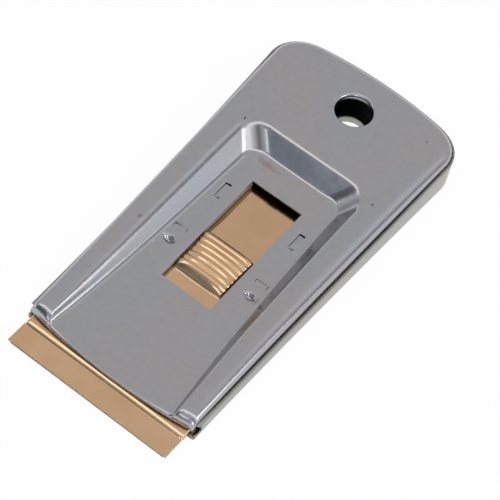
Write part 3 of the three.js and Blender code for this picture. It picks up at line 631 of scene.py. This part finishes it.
def ground_steel(name, tone, base_roughness, line_width):
    """Ground steel: fine lines that run back from the edge, a noise stretched along the depth."""
    material, tree = new_material(name)
    place = add(tree, "ShaderNodeTexCoord").outputs["Object"]
    stretched = add(tree, "ShaderNodeMapping", {"Vector": place, "Scale": (1, LINE_STRETCH, 1)})
    lines = add(tree, "ShaderNodeTexNoise", {"Vector": stretched.outputs["Vector"],
                                             "Scale": per_mm(line_width), "Detail": 3})
    gloss = add(tree, "ShaderNodeMapRange", {"Value": lines.outputs["Fac"], "From Min": 0.3,
                                             "From Max": 0.7, "To Min": base_roughness - LINE_GLOSS,
                                             "To Max": base_roughness + LINE_GLOSS})
    bump = add(tree, "ShaderNodeBump", {"Height": lines.outputs["Fac"], "Distance": LINE_HEIGHT * MM,
                                        "Strength": 1})
    shader = add(tree, "ShaderNodeBsdfPrincipled", {"Base Color": linear(tone), "Metallic": 1,
                                                    "Roughness": gloss.outputs["Result"],
                                                    "Normal": bump.outputs["Normal"]})
    add(tree, "ShaderNodeOutputMaterial", {"Surface": shader.outputs["BSDF"]})
    return material


blade_steel = ground_steel("ground_blade_steel", "#c6c8ca", 0.24, 0.25)
spine_steel = ground_steel("rolled_spine_steel", "#b0b2b4", 0.32, 0.5)
print("blade steels:", blade_steel.name, spine_steel.name)

# %% [markdown]
# ## Sheared edges
# Where the press sheared or turned the sheet, the plating is thin and torn, and the edge is matt.
# It is a mostly diffuse grey with fine noise, and it lights the narrow gaps beside it, which would be
# black between two mirrors. It goes on the tray's rim and on the turned edges of the window.
# A rougher metal would look much the same on its own, but it would leave those gaps dark.

# %% Sheared edges
TEAR_SIZE = 0.4

torn_edge, tree = new_material("sheared_steel_edge")
place = add(tree, "ShaderNodeTexCoord").outputs["Object"]
tears = add(tree, "ShaderNodeTexNoise", {"Vector": place, "Scale": per_mm(TEAR_SIZE), "Detail": 3})
grey = add(tree, "ShaderNodeMix", {"Factor": tears.outputs["Fac"], "A": linear("#8f8e8b"),
                                   "B": linear("#bdbcb8")}, data_type="RGBA")
matt_edge = add(tree, "ShaderNodeBsdfPrincipled", {"Base Color": grey.outputs["Result"],
                                                   "Metallic": 0.25, "Roughness": 0.55})
add(tree, "ShaderNodeOutputMaterial", {"Surface": matt_edge.outputs["BSDF"]})
print("edges:", torn_edge.name)

# %% [markdown]
# ## Dress the pieces
# Each smooth copy gets its finish, stands for its node, which is hidden, and rides on the body that
# carries it, so that the blade, its spine and the carriage slide together.

# %% Dress the pieces
for piece, node, material, slot, body in (
    (shell, "top_shell", bright_plating, "plated_steel", "housing"),
    (tray, "bottom_tray", shaded_tray_plating, "tray_steel", "housing"),
    (carriage, "blade_carriage", brass_plating, "brass_plate", "carriage"),
    (blade, "razor_blade", blade_steel, "blade_steel", "carriage"),
    (spine, "blade_spine", spine_steel, "spine_steel", "carriage"),
):
    piece.data.materials.append(material)
    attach(piece, body)
    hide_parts(node)
    print(piece.name, "stands for", node, "on", body)

# %% [markdown]
# ## Dress the sheared edges
# The tray's rim is the faces that look straight up above its floor, so they are found by their normal
# and their height, and take the second material. The guides are sheared all over.
# A separate rim piece could carry the finish, but it would leave a seam along the wall.

# %% Dress the sheared edges
RIM_FOOT, RIM_UPWARD = 3 * MM, 0.9

tray.data.materials.append(torn_edge)
rim = [face for face in tray.data.polygons if face.normal.z > RIM_UPWARD and face.center.z > RIM_FOOT]
for face in rim:
    face.material_index = 1

for guide in guides:
    guide.data.materials.append(torn_edge)
    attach(guide, "housing")
print("rim faces:", len(rim), "and guides:", len(guides))

# %% [markdown]
# ## White floor
# The photograph was taken on white paper that rises at its far end, so the ground is white and the
# low faces of the tray reflect white as well. A round floor with a low wall stands for that paper:
# a flat circle, its rim extruded upwards. A plain plane would reflect dark beyond its edge.

# %% White floor
FLOOR_RADIUS, FLOOR_SIDES, WALL_HEIGHT = 2, 96, 0.4

bpy.ops.object.select_all(action="DESELECT")
bpy.ops.mesh.primitive_circle_add(vertices=FLOOR_SIDES, radius=FLOOR_RADIUS, fill_type="NGON")
floor = bpy.context.view_layer.objects.active
floor.name = "white_paper"
bpy.ops.object.mode_set(mode="EDIT")
bpy.ops.mesh.select_all(action="SELECT")
bpy.ops.mesh.extrude_edges_move(TRANSFORM_OT_translate={"value": (0, 0, WALL_HEIGHT)})
bpy.ops.object.mode_set(mode="OBJECT")
print("floor", 2 * FLOOR_RADIUS, "m across, its wall", WALL_HEIGHT, "m high")

# %% [markdown]
# ## White paper
# Matt white paper needs more light to look white than the object does. So for the camera and in
# reflections the paper is mostly its own light, and the rest of it still takes the object's shadow.
# More lamps on the floor would do it too, but they would also wash out the metal.

# %% White paper
GLOW_SHARE = 0.96

paper, tree = new_material("white_paper")
matt = add(tree, "ShaderNodeBsdfDiffuse", {"Color": linear("#f4f4f4")})
glow = add(tree, "ShaderNodeEmission", {"Color": (1, 1, 1, 1), "Strength": 1})
path = add(tree, "ShaderNodeLightPath").outputs
seen = add(tree, "ShaderNodeMath", {0: path["Is Camera Ray"], 1: path["Is Glossy Ray"]},
           operation="MAXIMUM")
shown = add(tree, "ShaderNodeMath", {0: seen.outputs[0], 1: path["Is Transmission Ray"]},
            operation="MAXIMUM")
share = add(tree, "ShaderNodeMath", {0: shown.outputs[0], 1: GLOW_SHARE}, operation="MULTIPLY")
both = add(tree, "ShaderNodeMixShader", {0: share.outputs[0], 1: matt.outputs["BSDF"],
                                         2: glow.outputs["Emission"]})
add(tree, "ShaderNodeOutputMaterial", {"Surface": both.outputs["Shader"]})
floor.data.materials.append(paper)
print("paper glows by", GLOW_SHARE)

# %% [markdown]
# ## What the metal reflects
# Polished metal shows its surroundings, so the room is laid out by what each face reflects. The flat
# faces look up and away from the camera into plain grey. The bent edges and the walls of the sunk deck
# sweep past dark corners of the room and give the thin dark lines beside the bright ones.
# A picture of a real studio could surround the object, but a few plain patches are easier to place.

# %% What the metal reflects
ROOM_GREY = (0.69, 0.668, 0.655, 1)
DIM_CORNER = (0.25, 0.29, 0.34, 1)
DARK_CORNER = (0.12, 0.13, 0.15, 1)
GREY_CORNER = (0.33, 0.34, 0.37, 1)
PALE_CEILING = (0.92, 0.9, 0.94, 1)
WHITE_SCREEN = (1, 1, 1.02, 1)
# Each patch: its direction, the angles where it is full and where it ends, and its colour
ROOM_PATCHES = (
    ((-0.25, -0.87, 0.40), 8, 36, DIM_CORNER),
    ((0.78, -0.53, 0.33), 6, 24, DIM_CORNER),
    ((-0.62, -0.65, 0.44), 9, 26, DARK_CORNER),
    ((-0.96, -0.10, 0.18), 9, 17, DIM_CORNER),
    ((0.375, -0.582, 0.723), 4, 13, DARK_CORNER),
    ((0.20, 0.50, 0.86), 4, 15, PALE_CEILING),
    ((0.65, 0.44, 0.62), 5, 14, GREY_CORNER),
    ((0.84, 0.46, 0.27), 6, 13, WHITE_SCREEN),
)
print("room patches:", len(ROOM_PATCHES))

# %% [markdown]
# ## The room in the reflections
# The room is a world background. Each patch is mixed in by the angle between the direction looked in and
# the patch's own, so that it is round and has a soft edge. Boards around the object could do the same,
# but they would also throw shadows on it.

# %% The room in the reflections
world = bpy.data.worlds.new("grey_room")
world.use_nodes = True
bpy.context.scene.world = world
sky = world.node_tree
sky.nodes.clear()
outward = add(sky, "ShaderNodeTexCoord").outputs["Generated"]
colour = ROOM_GREY
for direction, full, end, tone in ROOM_PATCHES:
    facing = add(sky, "ShaderNodeVectorMath", {0: outward, 1: Vector(direction).normalized()},
                 operation="DOT_PRODUCT")
    share = add(sky, "ShaderNodeMapRange", {"Value": facing.outputs["Value"],
                                            "From Min": math.cos(math.radians(end)),
                                            "From Max": math.cos(math.radians(full))},
                interpolation_type="SMOOTHSTEP")
    patched = add(sky, "ShaderNodeMix", {"Factor": share.outputs["Result"], "A": colour, "B": tone},
                  data_type="RGBA")
    colour = patched.outputs["Result"]
room = add(sky, "ShaderNodeBackground", {"Color": colour, "Strength": 1})
add(sky, "ShaderNodeOutputWorld", {"Surface": room.outputs["Background"]})
bpy.context.scene.view_settings.view_transform = "Standard"
print("world:", world.name)

# %% [markdown]
# ## Soft boxes
# Five rectangular lamps give the bright lines. The long one above the object lights the tops of the ribs
# and the rear edge of the sunk deck, the ones at the right and in front light the dimples and the turn
# of the deck, and a low one at the left lights the left flank.
# Spot lamps would give small hard points on polished metal, and a rectangle gives a line with soft ends.
# A lamp's level is its brightness beside white.

# %% Soft boxes
# Each lamp: its name, its direction, its distance, width and height in metres, and its level
SOFT_BOXES = (
    ("overhead_box", (0.05, -0.28, 0.96), 0.8, 2.2, 0.18, 1.15),
    ("right_window", (0.86, 0.12, 0.50), 1.0, 0.42, 0.34, 2.2),
    ("front_right_box", (0.49, -0.74, 0.44), 1.0, 0.3, 0.3, 2.4),
    ("left_window", (-0.87, -0.45, 0.22), 1.0, 0.18, 0.2, 1.6),
    ("front_strip", (-0.04, -0.80, 0.58), 1.0, 0.3, 0.16, 1.8),
)

for name, direction, distance, width, height, brightness in SOFT_BOXES:
    lamp = bpy.data.lights.new(name, "AREA")
    lamp.shape = "RECTANGLE"
    lamp.size = width
    lamp.size_y = height
    lamp.energy = brightness * math.pi * width * height
    box = bpy.data.objects.new(name, lamp)
    box.visible_camera = False
    bpy.context.scene.collection.objects.link(box)
    toward = Vector(direction).normalized()
    facing = toward.to_track_quat("Z", "Y").to_matrix().to_4x4()
    box.matrix_world = Matrix.Translation(toward * distance) @ facing
print("lamps:", len(SOFT_BOXES))
